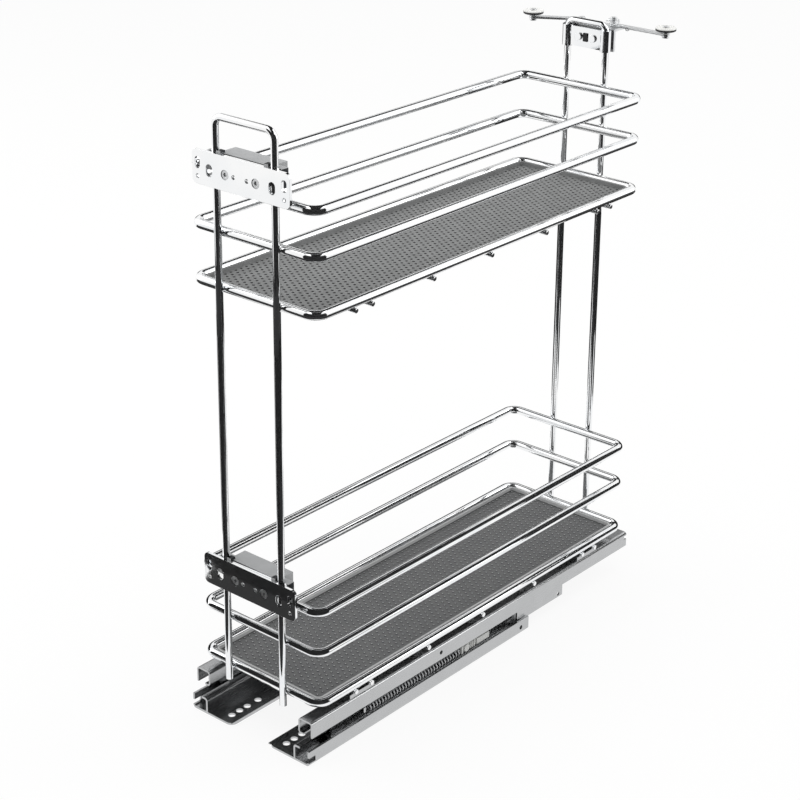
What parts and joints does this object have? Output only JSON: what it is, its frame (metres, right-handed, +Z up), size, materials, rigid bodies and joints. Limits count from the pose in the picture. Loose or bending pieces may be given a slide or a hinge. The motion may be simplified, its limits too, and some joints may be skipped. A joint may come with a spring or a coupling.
{
  "type": "pull out larder unit",
  "caption": "Two-tier chrome wire pull-out on undermount ball runners, with door plates in front and sprung guide rollers behind.",
  "frame": {"origin": "centre of the four outermost floor screw holes, on the underside of the runners' flanges", "axes": "+Z up; -Y towards the cabinet door, the way the unit pulls out; +X to the right seen from the door side"},
  "size_m": [0.1205, 0.3737, 0.4254],
  "materials": {
    "chrome_wire": "mirror-bright chrome plating",
    "chrome_plate": "mirror-bright chrome plating on stamped sheet",
    "zinc_sheet": "satin zinc-plated steel sheet",
    "bright_steel": "bright plated steel strip",
    "dark_steel": "dark plated steel",
    "spring_steel": "bright drawn spring wire",
    "ball_steel": "polished steel",
    "cage_plastic": "dark moulded plastic",
    "slider_plastic": "light grey moulded plastic",
    "roller_plastic": "pale moulded plastic with a dark tread",
    "housing_grey": "satin grey",
    "lower_mat_rubber": "dark grey with small raised pips",
    "upper_mat_rubber": "dark grey with rows of small dimples"
  },
  "bodies": {
    "cabinet_members": {"left_cabinet_member": "zinc_sheet", "right_cabinet_member": "zinc_sheet"},
    "pullout": {"left_top_member": "zinc_sheet", "right_top_member": "zinc_sheet", "front_crossbar": "zinc_sheet", "rear_crossbar": "zinc_sheet", "crossbar_rivets": "zinc_sheet", "lower_bottom_rail": "chrome_wire", "lower_middle_rail": "chrome_wire", "lower_top_rail": "chrome_wire", "lower_cross_wires": "chrome_wire", "lower_mat": "lower_mat_rubber", "upper_bottom_rail": "chrome_wire", "upper_middle_rail": "chrome_wire", "upper_top_rail": "chrome_wire", "upper_cross_wires": "chrome_wire", "upper_mat": "upper_mat_rubber", "front_loop": "chrome_wire", "rear_loop": "chrome_wire", "upper_door_plate": "chrome_plate", "upper_housing": "housing_grey", "upper_adjusters": "dark_steel", "lower_door_plate": "chrome_plate", "lower_housing": "housing_grey", "lower_adjusters": "dark_steel", "stabiliser_clamp": "chrome_plate", "stabiliser_bracket": "chrome_plate", "clamp_screws": "dark_steel", "left_pivot_pin": "dark_steel", "right_pivot_pin": "dark_steel"},
    "left_middle": {"left_middle_member": "zinc_sheet", "left_return_spring": "spring_steel"},
    "left_lower_race": {"left_lower_cage": "cage_plastic", "left_lower_balls": "ball_steel"},
    "left_upper_race": {"left_upper_cage": "cage_plastic", "left_upper_balls": "ball_steel"},
    "left_slider": {"left_closing_slider": "slider_plastic"},
    "right_middle": {"right_middle_member": "zinc_sheet", "right_return_spring": "spring_steel"},
    "right_lower_race": {"right_lower_cage": "cage_plastic", "right_lower_balls": "ball_steel"},
    "right_upper_race": {"right_upper_cage": "cage_plastic", "right_upper_balls": "ball_steel"},
    "right_slider": {"right_closing_slider": "slider_plastic"},
    "left_arm": {"left_arm": "bright_steel", "left_roller_pin": "dark_steel"},
    "right_arm": {"right_arm": "bright_steel", "right_roller_pin": "dark_steel", "arm_spring": "spring_steel"},
    "left_roller": {"left_roller": "roller_plastic"},
    "right_roller": {"right_roller": "roller_plastic"}
  },
  "joints": [
    {"name": "pull_out", "type": "slide", "parent": "cabinet_members", "child": "pullout", "axis": [0, -1, 0], "range_m": [0, 0.3]},
    {"name": "left_middle_slide", "type": "slide", "parent": "cabinet_members", "child": "left_middle", "axis": [0, -1, 0], "range_m": [0, 0.15]},
    {"name": "left_lower_race_slide", "type": "slide", "parent": "cabinet_members", "child": "left_lower_race", "axis": [0, -1, 0], "range_m": [0, 0.075]},
    {"name": "left_upper_race_slide", "type": "slide", "parent": "cabinet_members", "child": "left_upper_race", "axis": [0, -1, 0], "range_m": [0, 0.225]},
    {"name": "left_closing_slide", "type": "slide", "parent": "left_middle", "child": "left_slider", "axis": [0, 1, 0], "range_m": [0, 0.031], "stiffness_N_per_m": 100, "springref_m": -0.02, "deforming": ["left_return_spring"]},
    {"name": "right_middle_slide", "type": "slide", "parent": "cabinet_members", "child": "right_middle", "axis": [0, -1, 0], "range_m": [0, 0.15]},
    {"name": "right_lower_race_slide", "type": "slide", "parent": "cabinet_members", "child": "right_lower_race", "axis": [0, -1, 0], "range_m": [0, 0.075]},
    {"name": "right_upper_race_slide", "type": "slide", "parent": "cabinet_members", "child": "right_upper_race", "axis": [0, -1, 0], "range_m": [0, 0.225]},
    {"name": "right_closing_slide", "type": "slide", "parent": "right_middle", "child": "right_slider", "axis": [0, 1, 0], "range_m": [0, 0.031], "stiffness_N_per_m": 100, "springref_m": -0.02, "deforming": ["right_return_spring"]},
    {"name": "left_arm_swing", "type": "hinge", "parent": "pullout", "child": "left_arm", "pos_m": [-0.014, 0.24935, 0.41875], "axis": [0, 0, 1], "range_deg": [-31, 14]},
    {"name": "right_arm_swing", "type": "hinge", "parent": "pullout", "child": "right_arm", "pos_m": [0.014, 0.24935, 0.41875], "axis": [0, 0, 1], "range_deg": [-40, 0], "stiffness_Nm_per_rad": 0.01, "springref_deg": 17.19},
    {"name": "left_roller_spin", "type": "hinge", "parent": "left_arm", "child": "left_roller", "pos_m": [-0.044, 0.23132, 0.41875], "axis": [0, 0, 1], "continuous": true},
    {"name": "right_roller_spin", "type": "hinge", "parent": "right_arm", "child": "right_roller", "pos_m": [0.058, 0.24935, 0.41875], "axis": [0, 0, 1], "continuous": true}
  ],
  "couplings": [
    {"joint": "left_middle_slide", "follows": "pull_out", "ratio": 0.5},
    {"joint": "left_lower_race_slide", "follows": "pull_out", "ratio": 0.25},
    {"joint": "left_upper_race_slide", "follows": "pull_out", "ratio": 0.75},
    {"joint": "right_middle_slide", "follows": "pull_out", "ratio": 0.5},
    {"joint": "right_lower_race_slide", "follows": "pull_out", "ratio": 0.25},
    {"joint": "right_upper_race_slide", "follows": "pull_out", "ratio": 0.75}
  ]
}
